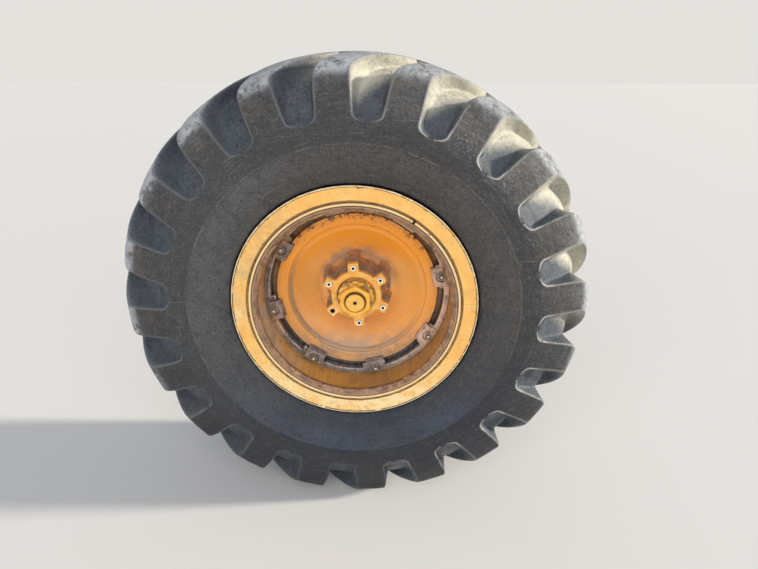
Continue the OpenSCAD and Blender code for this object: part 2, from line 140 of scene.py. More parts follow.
def make_world():
    """The camera and reflections see the backdrop, and the sky lights all the rest."""
    world = bpy.data.worlds.new("studio")
    bpy.context.scene.world = world
    world.use_nodes = True
    nodes, links = world.node_tree.nodes, world.node_tree.links
    nodes.clear()
    out, mix, path = (nodes.new("ShaderNode" + kind)
                      for kind in ("OutputWorld", "MixShader", "LightPath"))
    for socket, (color, strength) in ((1, SKY_LIGHT), (2, BACKDROP)):
        plain = nodes.new("ShaderNodeBackground")
        plain.inputs["Color"].default_value = (*color, 1)
        plain.inputs["Strength"].default_value = strength
        links.new(plain.outputs[0], mix.inputs[socket])
    seen = path.outputs["Is Camera Ray"]
    for ray in ("Is Glossy Ray", "Is Transmission Ray"):
        either = nodes.new("ShaderNodeMath")
        either.operation = "MAXIMUM"
        links.new(seen, either.inputs[0])
        links.new(path.outputs[ray], either.inputs[1])
        seen = either.outputs[0]
    links.new(seen, mix.inputs["Fac"])
    links.new(mix.outputs[0], out.inputs["Surface"])


make_floor()
make_world()
far_lamp("low_right", *LOW_RIGHT)
far_lamp("open_front", *OPEN_FRONT)
bpy.context.scene.view_settings.view_transform = "Standard"
print("floor at", round(FLOOR_Z, 4))

# %% [markdown]
# ## Tire
#
# The tire is one mesh swept round the axle. Its cross-section is a table of places:
# where the top of a lug lies, where the groove floor lies, how wide the lug is and
# how far it has swept round. A spline runs through the table, and the columns round
# the wheel follow the lugs' edges, so that few vertices make crisp flanks. On the
# sidewall a groove ends in a rounded pocket with a raised lip, the shape that shows
# most on the real tire, so its rows are computed rather than listed.

# %% Tire sizes
FACE_Y, RIM_WIDTH = -0.470, 0.388   # metres; below, radii and depths are in mm
LUGS = 20
PITCH = 2 * math.pi / LUGS
FIRST_LUG, SWEEP = math.radians(40.5), math.radians(15)
# A pocket's closed end: its radius, how far its bend reaches, half its width, and how
# square the bend is along the groove and across it
POCKET_END, POCKET_ROUND, POCKET_HALF = 515.0, 27.0, 39.0
SQUARE_ALONG, SQUARE_ACROSS = 0.88, 0.84
POCKET_TURNS = (9, 20, 32, 44, 56, 67, 78, 90)
# The pocket floor's first radius and depth, how far it goes outward and inward, and
# how slowly it starts to go inward
FLOOR_R, FLOOR_D, FLOOR_OUT, FLOOR_IN, FLOOR_CURVE = POCKET_END + 2, -33.0, 31, 23.5, 1.15
# The sidewall's widest place, radius and depth, and how far in it is at a span from there
BULGE_R, BULGE_D, BULGE_DROP, BULGE_SPAN = 495, -35.2, 5.2, 51
# How wide the worn and the steep flank are where the pocket starts, and what they gain
FLANK_START, WORN_GAIN, STEEP_GAIN = 3, 13, 7

# The sidewall inside the lugs: radius, depth, rows up to the next place
PLAIN_PLACES = [
    (317.8, 16.3, 1), (345, 16.3, 1), (351.8, 15, 2), (356.5, 5, 2), (368, -6, 3),
    (398, -24.5, 3), (440, -33.6, 2), (459.4, -35, 1), (461.2, -36.2, 1),
    (463.6, -36.3, 1), (465.6, -35.2, 3),
]
# Lug top radius and depth, groove floor radius and depth, lug width, width of the
# worn flank and of the steep one, share of the sweep, 1 where columns follow the
# lugs, rows up to the next place
BULGE_PLACES = [
    (500, -35.1, 500, -35.1, 110, 12, 8, 0, 0, 2),
    (511, -34.8, 511, -34.8, 132, 6, 5, 0, 1, 1),
]
SHOULDER_PLACES = [
    (552, -28.6, 552, -8, 90, 17, 11, 0, 1, 2),
    (576, -22.5, 572, 6, 89, 21, 12, 0, 1, 2),
    (602, -15, 590, 20, 88, 27, 13, 0, 1, 3),
    (630, -5.6, 608, 40, 86, 36, 14, 0.01, 1, 2),
    (642, -0.6, 616, 52, 84, 40, 14, 0.03, 1, 2),
    (649.5, 7, 623, 66, 83, 43, 14, 0.06, 1, 2),
    (657.5, 20, 630, 82, 83, 44, 14, 0.13, 1, 3),
    (668, 50, 640, 112, 84, 42, 14, 0.30, 1, 4),
    (674, 94, 647, 140, 85, 36, 14, 0.55, 1, 5),
    (676, 150, 650, 168, 85, 28, 14, 0.83, 1, 4),
    (676, 183, 650.5, 184, 84, 20, 14, 0.98, 1, 1),
    (675, 188.5, 651, 189, 84, 14, 14, 1, 1, 1),
    (652, 194, 652, 194, 84, 14, 14, 1.02, 1, 0),
]
INSIDE_PLACES = [
    (315, 330), (361, 338), (440, 374), (520, 386), (600, 330),
    (622, 270), (622, 118), (596, 70), (520, 8), (440, 14),
    (361, 50), (315, 58),
]


def pocket_places():
    """Rows round the closed end of a groove: its outline turns from across to along."""
    places = []
    for k, turn in enumerate(POCKET_TURNS):
        along = 1 - math.cos(math.radians(turn)) ** SQUARE_ALONG
        across = math.sin(math.radians(turn)) ** SQUARE_ACROSS
        down = (k + 1) / len(POCKET_TURNS)
        top_r = POCKET_END + POCKET_ROUND * along
        top_d = BULGE_D + BULGE_DROP * ((top_r - BULGE_R) / BULGE_SPAN) ** 2
        places.append((
            top_r, top_d, FLOOR_R + FLOOR_OUT * down, FLOOR_D + FLOOR_IN * down ** FLOOR_CURVE,
            PITCH * top_r - 2 * POCKET_HALF * across, FLANK_START + WORN_GAIN * across,
            FLANK_START + STEEP_GAIN * across, 0.0, 1, 1))
    return places


TIRE_PLACES = [(r, d, r, d, 100, 12, 8, 0.0, 0, rows) for r, d, rows in PLAIN_PLACES]
TIRE_PLACES += BULGE_PLACES + pocket_places() + SHOULDER_PLACES
print("places across half the tire:", len(TIRE_PLACES))


# %% Tire mesh
def spline_rows(places):
    """Catmull-Rom rows through the places, as many a span as each place says."""
    table = np.array([p[:9] for p in places], float)
    ext = np.vstack([2 * table[0] - table[1], table, 2 * table[-1] - table[-2]])
    rows = []
    for i in range(len(table) - 1):
        p0, p1, p2, p3 = ext[i:i + 4]
        count = places[i][9]
        for k in range(count):
            t = k / count
            rows.append(0.5 * (2 * p1 + (p2 - p0) * t
                               + (2 * p0 - 5 * p1 + 4 * p2 - p3) * t ** 2
                               + (3 * p1 - p0 - 3 * p2 + p3) * t ** 3))
    rows.append(table[-1])
    return np.array(rows)


# Steps across a flank, a lug top and a groove floor, from 0 to 1
FLANK_STEPS = [k / 8 for k in range(8)]
TOP_STEPS = [0, 0.025, 0.06, 0.14, 0.3, 0.5, 0.7, 0.86, 0.94, 0.975]
FLOOR_STEPS = [0, 0.06, 0.16, 0.28, 0.4, 0.5, 0.6, 0.72, 0.84, 0.94]
COLUMNS = [(key, t) for key, steps in
           enumerate((FLANK_STEPS, TOP_STEPS, FLANK_STEPS, FLOOR_STEPS)) for t in steps]
LUG_COLUMNS = len(FLANK_STEPS + TOP_STEPS + FLANK_STEPS)
# Height at even steps up a flank. The steep one has a fillet at its foot and a small
# round at its top, and the worn one is a long scoop that rises to a soft edge.
STEEP_RISE = (0, 0.03, 0.11, 0.25, 0.43, 0.62, 0.81, 0.95, 1)
WORN_RISE = (0, 0.04, 0.13, 0.26, 0.41, 0.58, 0.75, 0.90, 1)
LUG_WIDTH, FLANK_WIDTH = 88, 18
LIP_WIDTH, LIP_HEIGHT, LIP_SPREAD = 2.4, 0.8, 0.3
# How deep a groove is where its lips and its floor count in full, and how much of a
# flank's foot belongs to the floor
LIP_DEPTH, FLOOR_DEPTH, FOOT = 8, 20, 0.12
# Painted sunlight with dry dust starts at a radius, so much farther out at a steep flank, and
# fades in
SUNLIT_R, SUNLIT_BACK, SUNLIT_FADE = 545, 60, 45
# Height, waves round the tire, and mm of radius to a radian
UNEVEN = ((0.5, 5, 40), (0.4, 13, -23))


def flank_height(t, rises):
    return float(np.interp(t, np.linspace(0, 1, len(rises)), rises))


def column_shape(far):
    """Height and worn edge of each column of a pitch; the worn flank is column key 0."""
    rise, lip = [], []
    for key, t in COLUMNS:
        up = {0: t, 1: 1.0, 2: 1 - t, 3: 0.0}[key]
        if far:
            up = 1 - up
        rise.append(flank_height(up, WORN_RISE if key == (2 if far else 0) else STEEP_RISE))
        on_top = key == (3 if far else 1)
        edge = min(t, 1 - t) * LUG_WIDTH if on_top else (1 - up) * FLANK_WIDTH
        lip.append(math.exp(-(edge / LIP_WIDTH) ** 2))
    return np.array(rise), np.array(lip)


def ring_points(radius, depth, angle):
    """Points in metres from radius and depth in mm and an angle about the axle."""
    r, y = radius / 1000, FACE_Y + depth / 1000 + 0 * angle
    return np.stack([r * np.cos(angle), y, r * np.sin(angle)], 1)


def half_tire(rows, far):
    """Vertices of half the tire, and how much of a lip, groove and painted sunlight with dry dust
    each is.
    """
    rise, lip = column_shape(far)
    even = (np.arange(len(COLUMNS)) - LUG_COLUMNS / 2) / len(COLUMNS) * PITCH
    side = np.array([(1.0, 1.0, 0.0, t)[key] for key, t in COLUMNS])
    if far:
        side = side[::-1]
    verts, lips, floors, sunlit_dusts = [], [], [], []
    for top_r, top_d, low_r, low_d, width, worn, steep, share, follow in rows:
        mean_r = (top_r + low_r) / 2
        top, foot_a, foot_b = ((width / 2 + flank) / mean_r for flank in (0, worn, steep))
        keys = [-foot_a, -top, top, foot_b, PITCH - foot_a]
        if far:
            keys = [top - PITCH / 2, foot_b - PITCH / 2, PITCH / 2 - foot_a, PITCH / 2 - top]
            keys.append(keys[0] + PITCH)
        edge_cols = np.array([keys[k] + (keys[k + 1] - keys[k]) * t for k, t in COLUMNS])
        cols = even + (edge_cols - even) * np.clip(follow, 0, 1)
        deep = math.hypot(top_r - low_r, top_d - low_d)
        raise_lip = lip * (LIP_HEIGHT if 2 < deep and share < 0.02 else 0.0)
        radius = low_r + (top_r - low_r) * rise + raise_lip * LIP_SPREAD
        depth = low_d + (top_d - low_d) * rise - raise_lip
        depth = RIM_WIDTH * 1000 - depth if far else depth
        for n in range(LUGS):
            angle = FIRST_LUG + n * PITCH + cols - share * SWEEP
            wave = sum(high * np.sin(count * angle + radius / span)
                       for high, count, span in UNEVEN)
            verts.append(ring_points(radius + wave, depth, angle))
            lips.append(lip * min(deep / LIP_DEPTH, 1.0))
            floors.append(np.clip((1 - rise) / FOOT, 0, 1) * min(deep / FLOOR_DEPTH, 1.0))
            sunlit_dusts.append(np.clip((radius - SUNLIT_R - SUNLIT_BACK * (1 - side)) / SUNLIT_FADE, 0, 1))
    return tuple(np.concatenate(parts) for parts in (verts, lips, floors, sunlit_dusts))


def inside_tire():
    """The hollow of the tire, from INSIDE_PLACES of radius and depth."""
    even = (np.arange(len(COLUMNS)) - LUG_COLUMNS / 2) / len(COLUMNS) * PITCH
    verts = np.concatenate([ring_points(radius, depth, FIRST_LUG + n * PITCH + even)
                            for radius, depth in INSIDE_PLACES for n in range(LUGS)])
    return (verts,) + (np.zeros(len(verts)),) * 3


def skin_mesh(name, verts, width):
    """A closed skin from rings of vertices, each ring as long as the others."""
    count = len(verts) // width
    i, j = np.meshgrid(np.arange(count), np.arange(width), indexing="ij")
    i2, j2 = (i + 1) % count, (j + 1) % width
    corners = [i * width + j, i2 * width + j, i2 * width + j2, i * width + j2]
    faces = np.stack(corners, -1).reshape(-1, 4)
    mesh = bpy.data.meshes.new(name)
    mesh.from_pydata(verts.tolist(), [], faces.tolist())
    mesh.validate()
    mesh.shade_smooth()
    return mesh


def add_values(mesh, name, values):
    layer = mesh.attributes.new(name, "FLOAT", "POINT")
    layer.data.foreach_set("value", np.asarray(values, np.float32))


def make_tire():
    rows = spline_rows(TIRE_PLACES)
    near, far, inside = half_tire(rows, False), half_tire(rows[::-1][1:], True), inside_tire()
    verts, lips, floors, sunlit_dusts = (np.concatenate(three) for three in zip(near, far, inside))
    mesh = skin_mesh("tire_skin", verts, LUGS * len(COLUMNS))
    add_values(mesh, "lip", lips)
    add_values(mesh, "groove", floors)
    add_values(mesh, "dry", sunlit_dusts)
    print("tire:", len(verts), "vertices,", 2 * len(mesh.polygons), "triangles")
    return add_object("tire_skin", mesh)


tire = make_tire()
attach(tire, "wheel")
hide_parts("tire")

# %% [markdown]
# ## Round steel
#
# The rim, its flanges and the disc are rolled and pressed plate. Nothing on them has
# a knife edge: every corner is a small radius that catches the light, and the lips
# are bent a little from years of tire irons. Each ring is turned again from its
# outline with a radius at each corner, and its lips are moved by a slow wave.

# %% Turned rings
SEGMENTS = 240
LONGEST = 0.46   # share of a straight that a fillet may take
BLUNT = math.radians(84)   # half angle from which a corner doesn't wear
LIP_REACH = 12   # mm of a lip that are bent
DENTS = ((0.6, 3, 1), (0.4, 11, 0), (0.3, 29, 2))   # height, waves round it, start


def rounded(outline, steps=4):
    """Points of an outline of (radius, depth, fillet), with how much of an edge each is."""
    pts = np.array([p[:2] for p in outline], float)
    result = []
    count = len(pts)
    area = sum(a[0] * b[1] - b[0] * a[1] for a, b in zip(pts, np.roll(pts, -1, 0)))
    for i, (r, d, fillet) in enumerate(outline):
        before, here, after = pts[i - 1], pts[i], pts[(i + 1) % count]
        a, b = before - here, after - here
        la, lb = np.linalg.norm(a), np.linalg.norm(b)
        a, b = a / la, b / lb
        half = math.acos(max(-1.0, min(1.0, float(a @ b)))) / 2
        reach = min(fillet / max(math.tan(half), 1e-3), LONGEST * la, LONGEST * lb)
        convex = float((b[0] * a[1] - b[1] * a[0]) * area > 0) * float(half < BLUNT)
        start, end = here + a * reach, here + b * reach
        for k in range(steps + 1):
            t = k / steps
            point = (1 - t) ** 2 * start + 2 * t * (1 - t) * here + t ** 2 * end
            result.append((point[0], point[1], convex * (1 - abs(2 * t - 1) * 0.6)))
    return result


def turn_ring(name, outline, bent):
    """A ring about the axle from its outline; bent moves its outer lip, in mm."""
    profile = rounded(outline)
    angles = np.arange(SEGMENTS) / SEGMENTS * 2 * math.pi
    outer = max(p[0] for p in profile)
    verts, edges = [], []
    for r, d, edge in profile:
        reach = max(0.0, 1 - (outer - r) / LIP_REACH) * bent
        wave = reach * sum(high * np.sin(count * angles + start) for high, count, start in DENTS)
        verts.append(ring_points(r + 0.4 * wave, d + wave, angles))
        edges.append(np.full(SEGMENTS, edge))
    mesh = skin_mesh(name, np.concatenate(verts), SEGMENTS)
    add_values(mesh, "lip", np.concatenate(edges))
    made = add_object(name, mesh)
    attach(made, "wheel")
    return made


# %% Rim rings
# radius, depth and fillet of each corner, in mm
FLANGE_OUTLINE = [
    (317.8, 16, 1), (317.8, 8.8, 0.5), (308, 8.8, 0.5), (308, 5.4, 1.2), (318, 5, 4),
    (344.6, 4, 0.8), (346.4, 0.8, 0.7), (348.6, 0, 1.2), (350.5, 3, 2.5), (349.5, 9, 3),
    (343.5, 13, 3), (336.5, 16, 1),
]
INBOARD_OUTLINE = [
    (317.8, 372, 1), (317.8, 382, 1), (344.6, 384, 2), (346.4, 387.2, 1), (348.6, 388, 1.2),
    (350.5, 385, 2.5), (349.5, 379, 3), (343.5, 375, 3), (336.5, 372, 1),
]
BAND_OUTLINE = [
    (303.7, 25, 0.5), (303.7, 12, 0.5), (305.5, 9, 0.5), (316.5, 9, 0.5), (317.5, 10, 0.5),
    (317.5, 16, 1), (311.5, 96, 2), (303.7, 90, 2),
]
DISC_OUTLINE = [
    (244, 130, 2), (242.5, 126.6, 1.6), (240, 126, 1.5), (212, 126, 9), (208, 133, 6),
    (199, 135, 6), (195, 134, 9), (122, 195, 24), (112.5, 198, 6), (101, 198, 0.5),
    (101, 218, 0.5), (122, 218, 10), (204, 158, 10), (226, 146, 6), (244, 146, 1.5),
]
BASE_OUTLINE = [
    (279.5, 26, 4), (276.5, 21, 2.5), (276.5, 14, 3), (290.2, 4.9, 1.2), (292, 5.4, 0.8),
    (292, 7.8, 0.5), (290, 8.8, 0.5), (290, 21, 1), (303.4, 24, 1), (303.4, 62.4, 4),
    (291.5, 84.5, 6), (291.5, 298, 8), (311.5, 304, 6), (317.4, 372, 1), (317.4, 383.5, 0.5),
    (326.5, 383.5, 0.5), (326.5, 387, 1), (324.5, 389, 1.5), (305.5, 389, 5), (279.5, 370, 8),
]

steel = {}
for node, outline, bent in (
    ("outboard_flange", FLANGE_OUTLINE, 0.8), ("inboard_flange", INBOARD_OUTLINE, 0.8),
    ("bead_seat_band", BAND_OUTLINE, 0.2), ("wheel_disc", DISC_OUTLINE, 0.9),
    ("rim_base", BASE_OUTLINE, 0.0),
):
    steel[node] = turn_ring(node + "_steel", outline, bent)
    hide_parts(node)
    print(node, len(steel[node].data.vertices), "vertices")

# %% [markdown]
# ## Cast and forged steel
#
# The hub is a rough casting, the clamps are forged, and the mounting ring is cast and
# machined. Their CAD solids have the right shape with sharp edges. A copy of each is
# remeshed into small even cells and smoothed a little, which rounds every edge the
# way sand and scale do, and leaves enough vertices for a rough skin.

# %% Weathered castings
def weathered(node, cell, passes, rough):
    """A remeshed, smoothed and roughened copy of a CAD node."""
    source = NODES[node]
    work = add_object(node + "_cast", source.data.copy())
    work.matrix_world = source.matrix_world
    remesh = work.modifiers.new("cells", "REMESH")
    remesh.mode, remesh.voxel_size, remesh.adaptivity = "VOXEL", cell, 0.0
    smooth = work.modifiers.new("soften", "SMOOTH")
    smooth.factor, smooth.iterations = 0.5, passes
    graph = bpy.context.evaluated_depsgraph_get()
    mesh = bpy.data.meshes.new_from_object(work.evaluated_get(graph), depsgraph=graph)
    work.modifiers.clear()
    work.data = mesh
    co = np.empty(len(mesh.vertices) * 3)
    mesh.vertices.foreach_get("co", co)
    co = co.reshape(-1, 3)
    no = np.empty_like(co)
    mesh.vertices.foreach_get("normal", no.reshape(-1))
    lumps = sum(np.sin(co @ direction) for direction in ROUGH_WAVES) / len(ROUGH_WAVES)
    co += no.reshape(-1, 3) * (lumps * rough)[:, None]
    mesh.vertices.foreach_set("co", co.reshape(-1))
    mesh.materials.clear()
    mesh.shade_smooth()
    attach(work, "wheel")
    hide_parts(node)
    print(node, len(mesh.vertices), "vertices")
    return work


# Fourteen waves in random directions, of about 420 radians a metre
ROUGH_WAVES = np.random.default_rng(7).normal(size=(14, 3)) * 420
# node, cell of the remesh in metres, smoothing passes, height of the roughness in metres
for node, cell, passes, rough in (
    ("hub", 0.0021, 5, 0.00035),
    ("rim_clamps", 0.0013, 4, 0.00035),
    ("mounting_ring", 0.0026, 4, 0.0004),
    ("scalloped_ring", 0.0011, 4, 0.0002),
    ("hub_nut", 0.0010, 4, 0.0001),
):
    steel[node] = weathered(node, cell, passes, rough)

# %% [markdown]
# ## Small steel
#
# Screws, studs and the lock ring are small enough that a bevel is all they need. A
# bevel modifier rounds the edges of the CAD node itself and leaves its mesh alone.


# %% Bevels on the CAD nodes
BEVEL_WIDTHS = {"clamp_studs": 0.0006, "ear_screws": 0.0006, "axle_shaft": 0.0008,
                "lock_ring": 0.0006, "retainer_screws": 0.0005, "seal_retainer": 0.0008}
SHARP = math.radians(40)

for node, width in BEVEL_WIDTHS.items():
    bevel = NODES[node].modifiers.new("edges", "BEVEL")
    bevel.width, bevel.segments, bevel.limit_method = width, 2, "ANGLE"
    bevel.angle_limit, bevel.harden_normals = SHARP, False
print("bevelled nodes:", len(BEVEL_WIDTHS))

# %% [markdown]
# ## Finishes
#
# Nothing on this wheel has one color. Paint has faded, chipped and been sprayed over,
# and dirt lies in every groove. Some colours are painted light and shade: in the tire's
# pockets and gap, on the disc, in hollows and in holes. Each material is built from a few
# noises in the object's own coordinates, so that it turns with the wheel. A small class
# keeps the node calls short: ground gives two cloudy colors to start from, and each paint
# lays one more color over them, as far as its amounts say.


# %% Node helper
class Finish:
    """One procedural material, with short calls for the nodes it needs."""

    def __init__(self, name, metallic=0.0):
        self.mat = bpy.data.materials.new(name)
        self.mat.use_nodes = True
        self.tree = self.mat.node_tree
        self.shader = self.tree.nodes["Principled BSDF"]
        self.shader.inputs["Metallic"].default_value = metallic
        self.color = self.height = None
        self.place = self.node("TexCoord").outputs["Object"]
        parts = self.node("SeparateXYZ", Vector=self.place)
        self.x, self.y, self.z = parts.outputs
        self.radius = self.length(self.x, self.z)
        self.depth = self.math("SUBTRACT", self.y, FACE_Y)
        # Ramps to the right, upward, outward from the axle and into the wheel
        self.across, self.up, self.out, self.deep = (
            partial(self.ramp, value) for value in (self.x, self.z, self.radius, self.depth))

    def node(self, kind, settings=(), **inputs):
        made = self.tree.nodes.new("ShaderNode" + kind)
        for key, value in dict(settings).items():
            setattr(made, key, value)
        for key, value in inputs.items():
            self.feed(made.inputs[int(key[1:]) if key[1:].isdigit() else key], value)
        return made

    def feed(self, socket, value):
        if isinstance(value, bpy.types.NodeSocket):
            self.tree.links.new(value, socket)
        elif isinstance(value, tuple) and len(value) == 3 and socket.type == "RGBA":
            socket.default_value = (*value, 1)
        else:
            socket.default_value = value

    def math(self, operation, a, b=0.0):
        return self.node("Math", {"operation": operation}, _0=a, _1=b).outputs[0]

    def plus(self, a, b):
        return self.math("ADD", a, b)

    def share(self, value, part, rest):
        return self.plus(self.times(value, part), rest)

    def length(self, a, b):
        return self.math("SQRT", self.plus(self.times(a, a), self.times(b, b)))

    def times(self, *values):
        result = values[0]
        for value in values[1:]:
            result = self.math("MULTIPLY", result, value)
        return result

    def noise(self, scale, detail=4.0, rough=0.6, at=None, twist=0.0):
        return self.node("TexNoise", Vector=at or self.place, Scale=scale, Detail=detail,
                         Roughness=rough, Distortion=twist).outputs["Fac"]

    def cells(self, scale):
        return self.node("TexVoronoi", Vector=self.place, Scale=scale).outputs["Distance"]

    def polar(self, around, outward):
        """Coordinates that stretch a noise round the axle or away from it, with no seam."""
        cosine = self.math("DIVIDE", self.x, self.radius)
        sine = self.math("DIVIDE", self.z, self.radius)
        return self.node("CombineXYZ", X=self.times(cosine, around),
                         Y=self.times(self.radius, outward), Z=self.times(sine, around)).outputs[0]

    def stretched(self, scale, turn=0.0):
        """Coordinates scaled along each axis, after a turn about the axle in degrees."""
        return self.node("Mapping", Vector=self.place, Rotation=(0, math.radians(turn), 0),
                         Scale=scale).outputs[0]

    def strokes(self, lean, fine, low, high):
        """Straight scratches across the wheel's face, leaning by so many degrees."""
        lines = self.stretched((fine / 22, fine / 22, fine), lean)
        return self.patches(1, low, high, 4, 0.7, at=lines, twist=0.25)

    def from_spots(self, count, angle, pitch):
        """Distance to the nearest of so many points on a circle, the first at an angle."""
        turn = self.math("SUBTRACT", self.math("ARCTAN2", self.z, self.x), math.radians(angle))
        along = self.times(self.math("SINE", self.times(turn, count / 2)), self.radius, 2 / count)
        return self.length(along, self.math("SUBTRACT", self.radius, pitch))

    def ramp(self, value, low, high, top=1.0):
        """0 below low, top above high, smooth between; low may be the larger."""
        made = self.node("MapRange", {"interpolation_type": "SMOOTHSTEP"}, Value=value)
        made.inputs["From Min"].default_value, made.inputs["From Max"].default_value = low, high
        made.inputs["To Min"].default_value, made.inputs["To Max"].default_value = 0.0, top
        return made.outputs[0]

    def patches(self, scale, low, high, detail=5, rough=0.7, at=None, twist=0.0, top=1.0):
        """A noise cut into patches between two of its levels."""
        return self.ramp(self.noise(scale, detail, rough, at, twist), low, high, top)

    def band(self, value, low, high, soft=0.0006):
        return self.times(self.ramp(value, low - soft, low + soft),
                          self.ramp(value, high + soft, high - soft))

    def edges(self, low, high):
        """Corners that stand out, above 0.5, or hollows, below it."""
        return self.ramp(self.node("NewGeometry").outputs["Pointiness"], low, high)

    def mark(self, name):
        return self.node("Attribute", {"attribute_name": name}).outputs["Fac"]

    def blend(self, amount, first, second):
        made = self.node("Mix", {"data_type": "RGBA"}, _0=amount)
        self.feed(made.inputs[6], first)
        self.feed(made.inputs[7], second)
        return made.outputs[2]

    def ground(self, first, second, scale, detail, rough, low=0.34, high=0.66):
        """Cloudy paint of two colors to start from; gives the clouds, for the gloss."""
        clouds = self.noise(scale, detail, rough)
        self.color = self.blend(self.ramp(clouds, low, high), first, second)
        return clouds

    def paint(self, color, *amounts):
        """Lay a color over what is there, as far as all of the amounts say."""
        self.color = self.blend(self.times(*amounts), self.color, color)

    def either(self, *values):
        result = values[0]
        for value in values[1:]:
            result = self.math("MAXIMUM", result, value)
        return result

    def bump(self, height, distance):
        made = self.node("Bump", Height=height, Distance=distance, Strength=1.0)
        if self.height:
            self.tree.links.new(self.height, made.inputs["Normal"])
        self.height = made.outputs[0]

    def grit(self, height, *noise, **at):
        """Fine relief from a noise, so many metres high."""
        self.bump(self.noise(*noise, **at), height)

    def done(self, clouds, dullest, low=0.9, high=0.1):
        """The material, with no roughness where the clouds are low and the dullest at high."""
        self.feed(self.shader.inputs["Base Color"], self.color)
        self.feed(self.shader.inputs["Roughness"], self.ramp(clouds, low, high, dullest))
        self.feed(self.shader.inputs["Normal"], self.height)
        return self.mat


# %% [markdown]
# ## Rubber
#
# Old rubber is a dull blue grey, and the lugs' faces are darker low down. Between the
# rim and the ring on the sidewall clings dust, brown high up; low down the band is
# darker and bluer. The tread is scuffed pale; high up it is also painted lighter with
# skylight, and its shoulders on the left carry a painted blue sheen. The pocket floors
# have a painted sunlit copy, pale with dry dust, on the upper right where the low sun
# reaches, and a painted shaded copy, dark blue grey, elsewhere. The lips of the pockets
# are rubbed light, with painted sunlight on them on the right. A near black ring of
# painted shadow lies where the tire meets the rim. Fine cracks run round the sidewall.

# %% Rubber
# Where each thing starts and where it is full, in metres from the axle, or in height
HIGH_UP, GAP_SHADOW = (-0.42, 0.10), (0.3575, 0.3525)
INSIDE_RING, RING, OUTSIDE_RING = (0.468, 0.456), (0.4606, 0.4642), (0.463, 0.470)
LUG_FACES, SHOULDERS, TREAD = (0.500, 0.560), (0.590, 0.645), (0.630, 0.652)


